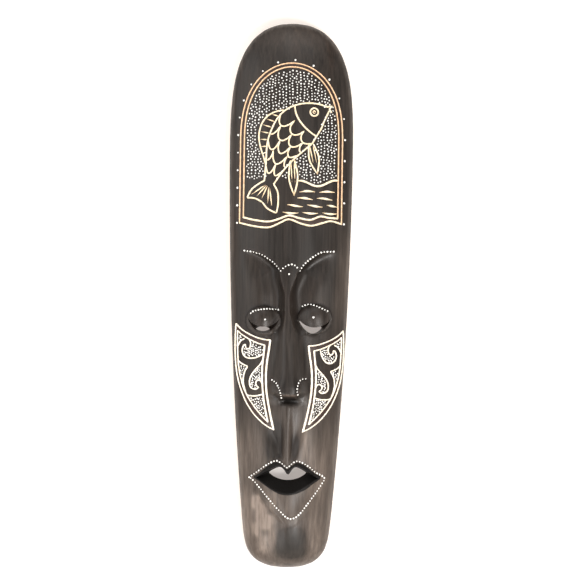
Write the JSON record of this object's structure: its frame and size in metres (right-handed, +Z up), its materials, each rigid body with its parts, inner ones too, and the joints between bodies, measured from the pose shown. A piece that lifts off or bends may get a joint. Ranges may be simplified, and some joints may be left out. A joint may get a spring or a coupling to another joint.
{
  "type": "carved wooden wall mask",
  "caption": "Long hollowed wooden wall mask with pierced eyes and mouth, beads of paint along its carved edges and a swinging ring hanger at the back.",
  "frame": {"origin": "the hang point: where a nail in the wall carries the hanging ring, on the wall plane", "axes": "+Z up towards the crown, -Y out of the wall where the face looks, +X to the right of someone facing the mask; the back rim lies at y = 0"},
  "size_m": [0.1138, 0.043, 0.5],
  "materials": {
    "dark_wood": "dark brown stain over light wood, satin wax, worn to brown along edges",
    "white_paint": "raised beads of off-white acrylic paint",
    "plated_steel": "zinc plated sheet",
    "plated_wire": "zinc plated wire, bright",
    "screw_metal": "yellow passivated steel"
  },
  "bodies": {
    "mask": {"mask_body": "dark_wood", "panel_border_dots": "white_paint", "brow_dots": "white_paint", "eyelid_dots": "white_paint", "nostril_dots": "white_paint", "lip_dots": "white_paint", "hanger_strap": "plated_steel", "hanger_screw": "screw_metal"},
    "ring": {"hanging_ring": "plated_wire"}
  },
  "joints": [
    {"name": "ring_swing", "type": "hinge", "parent": "mask", "child": "ring", "pos_m": [0, -0.0061, -0.008], "axis": [-1, 0, 0], "range_deg": [-4, 180]}
  ]
}
